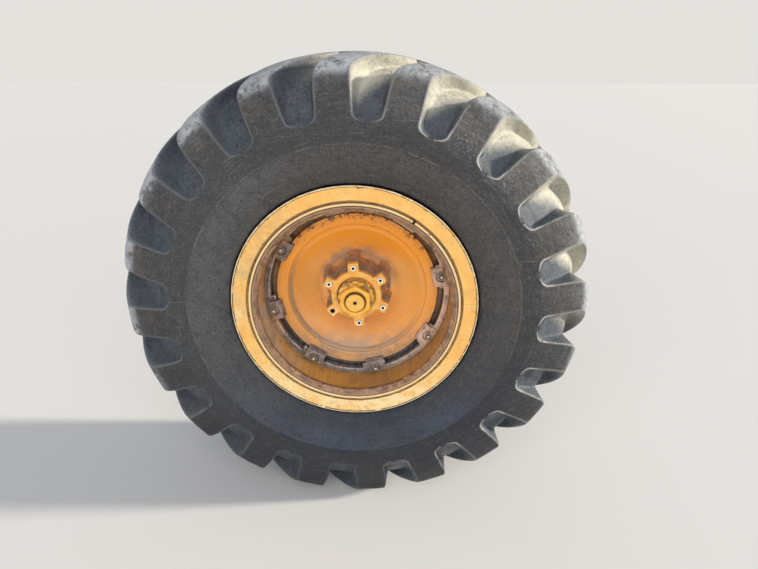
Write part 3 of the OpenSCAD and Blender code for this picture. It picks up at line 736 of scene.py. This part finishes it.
def tire_rubber():
    f = Finish("tire_rubber")
    f.shader.inputs["Specular IOR Level"].default_value = 0.28
    clouds = f.noise(9, 6, 0.65)
    grain = f.noise(150, 5, 0.75)
    high = f.up(*HIGH_UP)
    warm = f.blend(high, (0.028, 0.036, 0.053), (0.06, 0.053, 0.049))
    cool = f.blend(high, (0.02, 0.026, 0.04), (0.038, 0.04, 0.045))
    f.color = f.blend(f.ramp(clouds, 0.4, 0.62), cool, warm)
    dusty_band = f.times(f.out(*INSIDE_RING), f.patches(12, 0.28, 0.6, 6, 0.7),
                         f.share(high, 0.6, 0.1))
    f.paint(f.blend(f.across(-0.34, -0.02), (0.112, 0.113, 0.112), (0.078, 0.068, 0.06)),
            dusty_band)
    low_band = f.times(f.out(0.464, 0.46), f.out(0.375, 0.425),
                       f.up(-0.2, -0.36), f.patches(7, 0.28, 0.58, 5, 0.65))
    f.paint((0.048, 0.063, 0.092), low_band, 0.75)
    left_side = f.times(f.across(-0.12, -0.38), f.up(-0.52, -0.28),
                        f.patches(6, 0.25, 0.6, 5, 0.65))
    f.paint((0.078, 0.083, 0.087), left_side, 0.55)
    ring_line = f.times(f.band(f.radius, *RING, 0.0008), f.patches(20, 0.4, 0.6, 4, 0.7),
                        f.share(high, 0.8, 0.15))
    f.paint((0.18, 0.165, 0.125), ring_line, 0.55)
    f.paint(f.blend(high, (0.021, 0.02, 0.02), (0.033, 0.034, 0.037)), f.out(*OUTSIDE_RING), 0.5)
    on_lugs = f.times(f.out(*LUG_FACES), f.patches(13, 0.36, 0.58, twist=0.6))
    f.paint(f.blend(high, (0.014, 0.015, 0.016), (0.043, 0.041, 0.041)), on_lugs, 0.6)
    brown = f.times(f.band(f.radius, 0.56, 0.64, 0.02), high, f.patches(16, 0.46, 0.62, twist=0.5))
    f.paint((0.08, 0.064, 0.052), brown, 0.65)
    shoulder = f.times(f.out(*SHOULDERS), f.patches(40, 0.38, 0.6, 6, 0.75))
    f.paint((0.17, 0.178, 0.19), shoulder, 0.6, f.share(high, 0.9, 0.1))
    marked = f.share(high, 0.65, 0.35)
    round_marks = f.patches(1, 0.52, 0.66, 6, 0.78, at=f.polar(11, 110), twist=0.5, top=0.65)
    f.paint((0.128, 0.122, 0.112), round_marks, marked)
    rays = f.patches(1, 0.58, 0.72, 5, 0.75, at=f.polar(110, 7), top=0.55)
    f.paint((0.155, 0.149, 0.139), rays, marked)
    dark = f.patches(1, 0.48, 0.32, at=f.polar(34, 60), top=0.65)
    f.paint((0.022, 0.024, 0.029), dark)
    for lean, fine in ((24, 210), (-48, 250), (77, 230)):
        f.paint((0.175, 0.17, 0.16), f.strokes(lean, fine, 0.63, 0.72), 0.5, marked)
    f.paint((0.02, 0.02, 0.024), f.strokes(-12, 190, 0.62, 0.7), 0.6)
    crackle = f.noise(1, 5, 0.82, at=f.polar(75, 210), twist=0.4)
    f.paint((0.024, 0.024, 0.026), f.ramp(crackle, 0.5, 0.38), 0.55)
    f.paint((0.15, 0.146, 0.138), f.ramp(crackle, 0.54, 0.66), 0.45, marked)
    speckle = f.patches(190, 0.56, 0.69, 3, 0.8)
    f.paint((0.165, 0.162, 0.155), speckle, 0.55, marked)
    # Pale scuffs on the tread, stronger high up, where they also stand for painted skylight.
    scuffs_and_skylight = f.times(f.out(*TREAD), f.patches(30, 0.33, 0.53, 6, 0.78), f.share(high, 0.8, 0.12))
    f.paint(f.blend(f.patches(90, 0.36, 0.6, 4, 0.75), (0.165, 0.174, 0.188), (0.36, 0.374, 0.39)),
            scuffs_and_skylight)
    # Painted sky sheen: pale blue on the tread's shoulders on the left.
    corner = f.times(f.band(f.radius, 0.628, 0.664, 0.012), f.patches(36, 0.4, 0.54, 6, 0.8),
                     f.across(0.25, -0.05, 0.8), f.up(-0.4, -0.1))
    f.paint((0.43, 0.45, 0.475), corner)
    floor = f.mark("groove")
    # Painted sunlight and shade in the pockets: on the upper right the floors where the low sun
    # falls are pale with dust, elsewhere dark blue grey.
    painted_sun_side = f.times(f.across(-0.18, 0.04), f.ramp(f.plus(f.z, f.times(f.x, 0.25)), 0.0, 0.2))
    dry = f.times(painted_sun_side, f.mark("dry"))
    pale = f.blend(dry, f.blend(high, (0.046, 0.054, 0.062), (0.076, 0.09, 0.108)),
                   (0.425, 0.405, 0.335))
    shaded_floor = f.blend(dry, (0.022, 0.03, 0.043), (0.27, 0.26, 0.22))
    f.paint(f.blend(f.ramp(grain, 0.38, 0.6), shaded_floor, pale), floor, 0.92)
    # Mud patches on the floors, pale with painted sunlight where the sun falls.
    mud = f.times(floor, f.patches(17, 0.36, 0.6, 5, 0.72, twist=0.5))
    f.paint(f.blend(dry, (0.076, 0.087, 0.102), (0.5, 0.47, 0.38)), mud, 0.65)
    rubbed = f.times(f.mark("lip"), f.patches(30, 0.28, 0.44, 4, 0.7),
                     f.plus(f.up(-0.6, -0.34, 0.7), 0.3))
    # On the right the rubbed lips carry painted sunlight, brightest at the pockets' closed ends.
    painted_sunlit_lip = f.blend(f.out(0.562, 0.54), (0.24, 0.24, 0.228), (0.56, 0.55, 0.5))
    f.paint(f.blend(f.across(0.0, 0.22), (0.14, 0.146, 0.152), painted_sunlit_lip), rubbed, 0.85)
    specks = f.times(f.ramp(f.cells(210), 0.17, 0.06), f.patches(26, 0.42, 0.58, 4, 0.7))
    f.paint((0.33, 0.33, 0.32), specks, 0.75)
    f.paint((0.024, 0.026, 0.031), f.ramp(grain, 0.45, 0.3, 0.55))
    # Painted shadow: a near black ring where the tire meets the rim flange.
    f.paint((0.006, 0.005, 0.005), f.out(*GAP_SHADOW), 0.95)
    f.grit(0.0014, 1, 6, 0.75, at=f.polar(26, 260))
    f.grit(0.0034, 46, 6, 0.72)
    f.grit(0.0011, 420, 4, 0.75)
    return f.done(clouds, 0.9, 0.2, 0.8)


# %% [markdown]
# ## Rim paint
#
# The flange has a pale faded yellow, rubbed whiter on the left and at the bottom, with
# dark chips just inside its bright outer lip and a few radial cracks. At the bottom it is
# also painted lighter with light from the sky.

# %% Rim paint
RUST, DARK_CHIP = (0.190, 0.100, 0.060), (0.060, 0.034, 0.020)
# Radii on the flange, in metres
LIP_LINE, OUTER_LIP, BEHIND_LIP = (0.3450, 0.3472), (0.3466, 0.3478), (0.3490, 0.3503)
INNER_EDGE, RECESS, SEAT = (0.3096, 0.3086), (0.3086, 0.3078), (0.3062, 0.3052)


def rim_paint():
    f = Finish("rim_paint")
    clouds = f.ground((0.86, 0.43, 0.095), (0.89, 0.53, 0.15), 13, 6, 0.62, 0.34, 0.68)
    wear_side = f.ramp(f.plus(f.x, f.times(f.z, 1.3)), 0.06, -0.4)
    rubbed = f.patches(8, 0.47, 0.66, 7, 0.75, twist=0.9)
    f.paint((0.8, 0.64, 0.34), rubbed, f.share(wear_side, 0.7, 0.14))
    # Paler yellow towards the bottom: partly rubbed paint, partly painted light from the sky.
    f.paint((0.88, 0.7, 0.37), f.up(-0.14, -0.3), f.patches(1, 0.34, 0.6, at=f.polar(8, 30)), 0.8)
    soiled = f.times(f.across(-0.1, -0.26), f.up(-0.06, 0.08),
                     f.patches(15, 0.42, 0.6, 6, 0.78, twist=0.8))
    f.paint((0.43, 0.31, 0.15), soiled, 0.55)
    smears = f.patches(1, 0.5, 0.66, 6, 0.75, at=f.polar(9, 34), twist=0.6)
    f.paint((0.64, 0.36, 0.1), smears, 0.55)
    scuffs = f.times(f.patches(1, 0.54, 0.66, 6, 0.78, at=f.polar(11, 230)),
                     f.share(wear_side, 0.8, 0.18))
    f.paint((0.4, 0.29, 0.15), scuffs, 0.7)
    stains = f.patches(18, 0.55, 0.66, 6, 0.78, twist=1.2)
    f.paint((0.5, 0.27, 0.08), stains, 0.5)
    cracks = f.patches(1, 0.645, 0.7, 5, 0.8, at=f.polar(70, 5), twist=0.4)
    f.paint((0.34, 0.17, 0.06), cracks, 0.75)
    for lean, fine in ((35, 240), (-62, 260)):
        f.paint((0.36, 0.24, 0.12), f.strokes(lean, fine, 0.66, 0.72), 0.5)
    lip_line = f.band(f.radius, *LIP_LINE)
    chips = f.times(lip_line, f.patches(34, 0.38, 0.46, 4, 0.7))
    spots = f.times(f.out(0.334, 0.347), f.patches(85, 0.62, 0.66, 4, 0.65))
    inner_line = f.times(f.out(*INNER_EDGE), f.patches(24, 0.3, 0.5, 4, 0.7))
    inner_chips = f.times(f.out(0.312, 0.3092), f.patches(70, 0.6, 0.64, 4, 0.7))
    stray = f.patches(130, 0.72, 0.75, 3, 0.6)
    worn = f.either(chips, spots, f.times(inner_line, 0.8), inner_chips, stray)
    f.paint(f.blend(f.noise(90, 4), DARK_CHIP, RUST), worn)
    bright = f.times(f.out(*OUTER_LIP), f.patches(40, 0.62, 0.5, 5, 0.75))
    f.paint((0.93, 0.84, 0.62), bright, 0.85)
    dirt_lip = f.times(f.out(*BEHIND_LIP), f.patches(30, 0.45, 0.6, 4, 0.7))
    f.paint((0.22, 0.15, 0.09), dirt_lip, 0.8)
    shaded = f.blend(f.patches(70, 0.35, 0.65), (0.16, 0.082, 0.034), (0.42, 0.235, 0.085))
    f.paint(shaded, f.out(*RECESS))
    seat = f.times(f.out(*SEAT), f.patches(34, 0.6, 0.44, 4, 0.7))
    f.paint((0.7, 0.44, 0.16), seat, 0.8)
    f.bump(worn, -0.0006)
    f.grit(0.0014, 1, 4, 0.6, at=f.polar(20, 60))
    f.grit(0.0003, 300, 4, 0.7)
    return f.done(clouds, 0.72)


# %% [markdown]
# ## Disc paint
#
# The disc is a stronger orange, with painted light high up and in the dish, and painted
# shade on the left. Dirt and painted shade fill the pressed groove at its rim, most of it
# at the bottom and on the left, the lower half has faded to a dusty tan, and soot from
# overspray shades the dish behind the hub's upper ribs. Its edge is chipped to rust, and
# its rounded rim is painted pale, partly wear and partly a painted highlight.

# %% Disc paint
# Radii on the disc, in metres
DISH, GROOVE, FLAT_EDGE = (0.190, 0.130), (0.1955, 0.2085), (0.2095, 0.2120)
EDGE_LINE, DISC_EDGE = (0.2352, 0.2368), (0.2390, 0.2425)


def disc_paint():
    f = Finish("disc_paint")
    clouds = f.ground((0.89, 0.335, 0.03), (0.85, 0.355, 0.065), 8, 6, 0.6)
    faded = f.times(f.up(0.02, -0.22), f.patches(9, 0.22, 0.58, 6, 0.7))
    f.paint((0.52, 0.3, 0.15), faded, 0.6)
    haze = f.times(f.patches(3.2, 0.44, 0.6, 4, 0.6), f.up(0.14, 0.02))
    f.paint((0.74, 0.38, 0.14), haze, 0.3)
    # Painted light: the dish is lightened, most in its upper part, against the shade of its
    # hollow.
    f.paint((0.985, 0.5, 0.155), f.out(*DISH), f.up(-0.16, 0.02, 0.85))
    # Painted light: a brighter, stronger orange high up, for light bounced up from the floor.
    painted_top_light = f.times(f.up(0.06, 0.14), f.patches(5, 0.25, 0.55, 4, 0.6))
    f.paint((0.985, 0.345, 0.022), painted_top_light, 0.75)
    # Painted shade: darker brown orange on the left, from a little above the middle down.
    f.paint((0.56, 0.215, 0.04), f.across(-0.08, -0.19), f.up(0.14, 0.04), 0.45)
    f.paint((0.9, 0.33, 0.025), f.out(*FLAT_EDGE), f.up(-0.1, 0.1), 0.45)
    # The pressed groove is darkened, heaviest at the bottom and on the left: partly dirt, partly
    # painted shade.
    low = f.plus(f.ramp(f.plus(f.z, f.times(f.x, 0.6)), 0.1, -0.2, 0.84), 0.14)
    grime = f.times(f.band(f.radius, *GROOVE, 0.006), low,
                    f.patches(1, 0.16, 0.5, 6, 0.7, at=f.polar(14, 90)))
    f.paint((0.215, 0.13, 0.07), grime)
    dusty_low = f.times(f.up(-0.1, -0.19), f.out(0.15, 0.19), f.patches(22, 0.34, 0.56))
    f.paint((0.37, 0.24, 0.145), dusty_low, 0.85)
    ragged = f.plus(f.radius, f.times(f.noise(30, 5, 0.7), 0.05))
    soot = f.times(f.ramp(ragged, 0.158, 0.126), f.up(-0.03, 0.05))
    f.paint((0.27, 0.18, 0.14), soot, 0.8)
    edge_line = f.times(f.band(f.radius, *EDGE_LINE), f.patches(16, 0.36, 0.52, 4, 0.7))
    f.paint((0.33, 0.145, 0.04), edge_line, 0.65)
    top_edge = f.times(f.out(0.218, 0.241), f.up(0.05, 0.18))
    chips = f.either(f.times(top_edge, f.patches(62, 0.54, 0.59, 5, 0.72)),
                     f.patches(95, 0.69, 0.715, 4, 0.65))
    for lean, fine in ((18, 230), (-40, 210)):
        f.paint((0.55, 0.3, 0.14), f.strokes(lean, fine, 0.66, 0.72), 0.4)
    # The rounded outer edge is painted pale: partly worn paint, partly a painted highlight.
    edge_wear_and_highlight = f.times(f.out(*DISC_EDGE), f.patches(44, 0.42, 0.54, 4, 0.7))
    f.paint((0.72, 0.5, 0.26), edge_wear_and_highlight, 0.8)
    f.paint((0.1, 0.055, 0.035), chips)
    f.bump(chips, -0.0005)
    f.grit(0.0014, 1, 4, 0.6, at=f.polar(5, 40))
    f.grit(0.00025, 260, 4, 0.65)
    return f.done(clouds, 0.85)


# %% [markdown]
# ## Barrel
#
# Inside the rim the same orange has gone brown, with ochre low down and pale dust on
# the left. The gutter in front of it is bare and purple with rust, with paint left in
# a few flakes.

# %% Barrel
GUTTER, NOSE = (0.034, 0.024), (0.2872, 0.2935)   # depth and radius, in metres


def barrel_paint():
    f = Finish("barrel_paint")
    clouds = f.ground((0.6, 0.295, 0.062), (0.47, 0.245, 0.072), 11, 6, 0.65)
    ochre = f.times(f.across(0.02, -0.16), f.up(-0.06, -0.16), f.patches(12, 0.3, 0.56))
    f.paint((0.74, 0.4, 0.095), ochre, 0.8)
    dust = f.times(f.across(-0.14, -0.24), f.up(0.1, 0.0),
                   f.patches(15, 0.36, 0.56, 6, 0.75, twist=0.9))
    f.paint((0.62, 0.48, 0.35), dust, 0.85)
    drips = f.patches(1, 0.48, 0.64, 6, 0.75, at=f.stretched((60, 6, 60)))
    f.paint((0.23, 0.125, 0.055), drips, 0.38)
    deep_grime = f.times(f.deep(0.085, 0.108), f.patches(20, 0.35, 0.6))
    f.paint((0.23, 0.145, 0.08), deep_grime, 0.45)
    rust = f.blend(f.patches(30, 0.38, 0.62, 6, 0.75), (0.135, 0.064, 0.036), (0.35, 0.185, 0.095))
    flakes = f.patches(1, 0.53, 0.64, 6, 0.75, at=f.polar(16, 120))
    flaking = f.blend(f.times(flakes, 0.8), rust, (0.58, 0.35, 0.15))
    f.paint(flaking, f.deep(*GUTTER))
    f.paint((0.23, 0.135, 0.085), f.band(f.radius, *NOSE))
    worn_edge = f.times(f.band(f.radius, 0.289, 0.2916), f.deep(0.0085, 0.007),
                        f.patches(30, 0.38, 0.54))
    f.paint((0.64, 0.43, 0.21), worn_edge, 0.45)
    f.grit(0.0014, 55, 6, 0.7)
    f.grit(0.0004, 300, 4, 0.7)
    return f.done(clouds, 0.95)


# %% [markdown]
# ## Rusty steel
#
# The clamps, studs and the mounting ring are brown with old rust and caked dirt, and
# their hollows are painted near black with shade. The clamps are darker on the left and
# dusty on the right. On the ring the ledge is nearly black at the bottom, and browner
# and orange high up.

# %% Rusty steel
CLAMP_FRONT, LEDGE = (0.124, 0.116), (0.126, 0.138)   # depths, in metres
STUDS, EARS = (8, 13, 0.2585), (6, 35.2, 0.088)   # places, angle of the first, radius


def rusty_steel():
    f = Finish("rusty_steel")
    clouds = f.ground((0.072, 0.048, 0.044), (0.25, 0.172, 0.142), 42, 6, 0.68, 0.38, 0.62)
    streaks = f.patches(1, 0.44, 0.64, 6, 0.75, at=f.stretched((90, 12, 26)))
    f.paint((0.44, 0.32, 0.24), streaks, 0.6)
    clamp = f.deep(*CLAMP_FRONT)
    shaded = f.times(f.across(0.02, -0.14), f.patches(70, 0.36, 0.56), clamp)
    f.paint((0.088, 0.062, 0.066), shaded, 0.75)
    dusted = f.times(f.across(0.05, 0.2), f.patches(34, 0.34, 0.54), clamp)
    f.paint((0.8, 0.52, 0.35), dusted, 0.9)
    dust = f.times(f.patches(26, 0.46, 0.6, 5, 0.72), f.deep(0.122, 0.112))
    f.paint((0.43, 0.315, 0.24), dust, 0.55)
    painted = f.times(f.patches(15, 0.46, 0.56), f.out(0.25, 0.262), f.across(0.05, -0.15))
    f.paint((0.52, 0.3, 0.1), painted, 0.6)
    # The ring's ledge goes from nearly black at the bottom to brown and orange high up.
    high_ledge = f.blend(f.patches(24, 0.36, 0.6), (0.11, 0.055, 0.028), (0.36, 0.185, 0.065))
    ledge = f.blend(f.up(-0.16, 0.02), (0.045, 0.032, 0.026), high_ledge)
    f.paint(ledge, f.deep(*LEDGE, 0.92))
    wet = f.times(f.up(-0.12, -0.22), f.patches(22, 0.28, 0.52))
    grey = f.blend(f.patches(60, 0.4, 0.6), (0.06, 0.062, 0.07), (0.22, 0.22, 0.23))
    f.paint(grey, wet, 0.6)
    worn = f.times(f.edges(0.515, 0.555), f.patches(90, 0.35, 0.55, 4, 0.6))
    f.paint((0.7, 0.57, 0.47), worn, 0.9)
    # Painted shade: the hollows are darkened nearly black.
    f.paint((0.024, 0.015, 0.012), f.edges(0.492, 0.465), 0.9)
    f.grit(0.0018, 120, 6, 0.75)
    f.grit(0.0004, 480, 3, 0.7)
    return f.done(clouds, 1.0)


# Radii on a stud and its nut
NUT_RIM, NUT_TOP, STUD_END = (0.0074, 0.0100), (0.0066, 0.0056), (0.0046, 0.0036)


def stud_steel():
    f = Finish("stud_steel", 0.15)
    clouds = f.ground((0.085, 0.055, 0.042), (0.23, 0.165, 0.125), 90, 5, 0.7, 0.36, 0.62)
    from_stud = f.from_spots(*STUDS)
    rim = f.band(from_stud, *NUT_RIM)
    f.paint((0.42, 0.33, 0.25), rim, f.patches(120, 0.36, 0.56, 4, 0.7), 0.8)
    f.paint((0.05, 0.034, 0.027), f.ramp(from_stud, *NUT_TOP))
    f.paint((0.72, 0.64, 0.49), f.ramp(from_stud, *STUD_END), 0.95)
    f.grit(0.0006, 260, 5, 0.75)
    return f.done(clouds, 0.95)


# %% [markdown]
# ## Hub paint
#
# The hub's face was sprayed yellow in place. The paint fades out down the ribs' sides,
# which are bare and purple brown, and its edges are chipped. One ear has lost its
# screw and shows a torn dark hole.

# %% Hub paint
TORN_EAR = (-0.0719, -0.0507)   # where the missing screw's ear is, in metres
# The chamfer and the bore of the nut hold painted shade.
CHAMFER, BORE_SHADE = (0.0334, 0.0326), (0.0304, 0.0296)   # radii on the nut


def hub_paint():
    f = Finish("hub_paint")
    clouds = f.ground((0.83, 0.34, 0.042), (0.88, 0.49, 0.115), 24, 6, 0.62)
    grime = f.patches(40, 0.55, 0.66, 6, 0.75)
    f.paint((0.46, 0.22, 0.065), grime, 0.55)
    reach = f.plus(f.depth, f.times(f.noise(50, 5, 0.7), 0.024))
    bare = f.times(f.ramp(reach, 0.102, 0.128), f.up(-0.078, -0.04))
    rust = f.blend(f.patches(45, 0.35, 0.65), (0.11, 0.086, 0.082), (0.235, 0.19, 0.17))
    f.paint(rust, bare, 0.92)
    f.paint((0.82, 0.36, 0.075), f.deep(0.112, 0.15), f.up(-0.04, -0.078), 0.8)
    f.paint((0.64, 0.3, 0.085), f.deep(0.14, 0.19), f.patches(36, 0.3, 0.56), 0.75)
    pocket = f.times(f.band(f.depth, 0.0922, 0.12, 0.0012), f.out(0.06, 0.056))
    left_gap = f.either(f.patches(26, 0.52, 0.6), f.across(-0.03, -0.044))
    f.paint(f.blend(left_gap, (0.52, 0.25, 0.06), (0.09, 0.045, 0.028)), pocket, 0.9)
    away = f.length(*(f.math("SUBTRACT", *pair) for pair in zip((f.x, f.z), TORN_EAR)))
    torn = f.ramp(f.plus(away, f.times(f.noise(110, 4, 0.7), 0.009)), 0.0125, 0.0105)
    f.paint((0.022, 0.012, 0.01), torn)
    flaked = f.times(f.band(away, 0.0085, 0.015, 0.001), f.patches(140, 0.52, 0.58, 4, 0.7))
    f.paint((0.82, 0.74, 0.56), flaked, 0.9)
    painted = f.deep(0.105, 0.095)
    chips = f.times(f.edges(0.52, 0.56), f.patches(85, 0.5, 0.57, 4, 0.7), painted)
    f.paint((0.14, 0.075, 0.05), chips)
    stray = f.times(f.patches(150, 0.67, 0.7, 3, 0.6), painted)
    f.paint((0.2, 0.1, 0.05), stray, 0.8)
    rubbed = f.times(f.edges(0.52, 0.59), f.patches(60, 0.58, 0.42, 4, 0.7), painted)
    f.paint((0.94, 0.7, 0.32), rubbed, 0.6)
    f.bump(chips, -0.0004)
    f.grit(0.0012, 90, 6, 0.7)
    f.grit(0.0002, 360, 3, 0.7)
    return f.done(clouds, 0.78)


def nut_paint():
    f = Finish("nut_paint")
    clouds = f.ground((0.88, 0.39, 0.03), (0.9, 0.48, 0.065), 36, 6, 0.65)
    f.paint((0.8, 0.56, 0.22), f.deep(0.066, 0.07), f.ramp(f.cells(58), 0.62, 0.3))
    caked = f.times(f.patches(42, 0.47, 0.58, 6, 0.75), f.deep(0.046, 0.062))
    f.paint((0.19, 0.11, 0.07), caked, 0.85)
    # Painted shade in the gap round the axle's end: the chamfer darker, the bore near black.
    f.paint((0.48, 0.21, 0.045), f.out(*CHAMFER), 0.6)
    f.paint((0.05, 0.026, 0.018), f.out(*BORE_SHADE), 0.9)
    spots = f.patches(120, 0.63, 0.68, 4, 0.7)
    f.paint((0.24, 0.12, 0.05), spots, 0.75)
    f.paint((0.95, 0.7, 0.3), f.edges(0.52, 0.59), 0.6)
    f.bump(caked, 0.001)
    f.grit(0.0009, 130, 6, 0.7)
    return f.done(clouds, 0.78)


# %% [markdown]
# ## Bright pieces
#
# The ear screws are newer than the rest, pale and clean, with painted shade in the hole
# in the middle. The lock ring's nose is rubbed bright. The axle's end is painted, with
# painted shade in its centre hole and round its rim, and its splines and the bearing are
# oiled steel. The valve is tarnished brass.

# %% Bright pieces
# Radii on an ear screw and on the axle's end
SOCKET_SHADE, HEAD_EDGE = (0.0049, 0.0040), (0.0076, 0.0084)
CENTRE_HOLE_SHADE, AXLE_RIM_SHADE = (0.0066, 0.0056), (0.0262, 0.0272)


def screw_steel():
    f = Finish("screw_steel")
    clouds = f.ground((0.93, 0.88, 0.76), (0.74, 0.68, 0.55), 160, 5, 0.7, 0.36, 0.66)
    from_ear = f.from_spots(*EARS)
    # Painted shade: the socket in the middle near black.
    f.paint((0.016, 0.011, 0.009), f.ramp(from_ear, *SOCKET_SHADE))
    f.paint((0.42, 0.3, 0.16), f.ramp(from_ear, *HEAD_EDGE), 0.6)
    f.bump(clouds, 0.0003)
    return f.done(clouds, 0.8, 0.2, 0.9)


def lock_ring_steel():
    f = Finish("lock_ring_steel", 0.1)
    clouds = f.ground((0.86, 0.57, 0.24), (0.86, 0.66, 0.36), 40, 6, 0.7)
    back = f.deep(0.0052, 0.0078)
    f.paint(f.blend(f.noise(70, 4), (0.14, 0.075, 0.045), (0.3, 0.17, 0.08)), back)
    f.paint((0.22, 0.13, 0.08), f.patches(75, 0.64, 0.69, 4, 0.7))
    f.grit(0.0006, 110, 5, 0.7)
    return f.done(clouds, 0.7)


def oiled_steel():
    f = Finish("oiled_steel", 0.85)
    clouds = f.ground((0.46, 0.45, 0.43), (0.3, 0.27, 0.24), 60, 5, 0.7, 0.36, 0.66)
    f.grit(0.00015, 1, 4, 0.6, at=f.polar(2, 900))
    return f.done(clouds, 0.7, 0.2, 0.9)


def axle_finish():
    f = Finish("axle_finish")
    clouds = f.ground((0.86, 0.41, 0.05), (0.88, 0.52, 0.11), 50, 6, 0.65)
    ring_marks = f.patches(1, 0.45, 0.62, 4, 0.6, at=f.polar(2, 900))
    f.paint((0.58, 0.27, 0.06), ring_marks, 0.45)
    bare_steel = f.blend(f.ramp(clouds, 0.36, 0.66), (0.44, 0.42, 0.4), (0.26, 0.22, 0.19))
    inside, outside = f.deep(0.08, 0.1), f.deep(0.08, 0.06)
    f.paint(bare_steel, inside)
    # Painted shade: the inside of the centre hole near black.
    hole = f.times(f.out(*CENTRE_HOLE_SHADE), f.deep(0.0342, 0.0362))
    f.paint((0.045, 0.028, 0.02), hole, 0.95)
    # Painted shade: a dark ring round the rim of the axle's end, in the gap to the nut.
    f.paint((0.06, 0.032, 0.02), f.out(*AXLE_RIM_SHADE), outside, 0.9)
    f.paint((0.5, 0.2, 0.04), f.patches(130, 0.62, 0.67, 4, 0.7), outside, 0.7)
    f.feed(f.shader.inputs["Metallic"], f.times(inside, 0.8))
    f.grit(0.0002, 1, 4, 0.6, at=f.polar(2, 1400))
    f.grit(0.0004, 120, 5, 0.7)
    return f.done(clouds, 0.7)


def tarnished_brass():
    f = Finish("tarnished_brass", 0.7)
    clouds = f.ground((0.42, 0.3, 0.13), (0.16, 0.12, 0.07), 130, 5, 0.7, 0.36, 0.66)
    f.bump(clouds, 0.0004)
    return f.done(clouds, 0.8, 0.2, 0.9)


def housing_paint():
    f = Finish("housing_paint")
    clouds = f.ground((0.66, 0.33, 0.075), (0.52, 0.29, 0.1), 14, 6, 0.65)
    grease = f.times(f.patches(20, 0.44, 0.62, 6, 0.75), f.out(0.15, 0.09))
    f.paint((0.1, 0.07, 0.05), grease, 0.8)
    chips = f.patches(80, 0.64, 0.7)
    f.paint(RUST, chips)
    f.bump(chips, -0.0005)
    f.grit(0.0008, 130, 6, 0.7)
    return f.done(clouds, 0.9)


# %% Give each piece its finish
FINISHES = {
    "tire": tire_rubber(), "outboard_flange": rim_paint(), "wheel_disc": disc_paint(),
    "rim_base": barrel_paint(), "mounting_ring": rusty_steel(), "clamp_studs": stud_steel(),
    "hub": hub_paint(), "hub_nut": nut_paint(), "ear_screws": screw_steel(),
    "lock_ring": lock_ring_steel(), "inboard_bearing": oiled_steel(),
    "axle_shaft": axle_finish(), "valve_stem": tarnished_brass(), "axle_housing": housing_paint(),
}
SHARED = {
    "bead_seat_band": "outboard_flange", "inboard_flange": "rim_base",
    "rim_clamps": "mounting_ring", "scalloped_ring": "hub_nut",
    "seal_retainer": "mounting_ring", "retainer_screws": "clamp_studs",
}
steel["tire"] = tire
for node in NODES:
    finish = FINISHES[SHARED.get(node, node)]
    for piece in {NODES[node], steel.get(node, NODES[node])}:
        piece.data.materials.clear()
        piece.data.materials.append(finish)
print("finishes:", len(FINISHES))
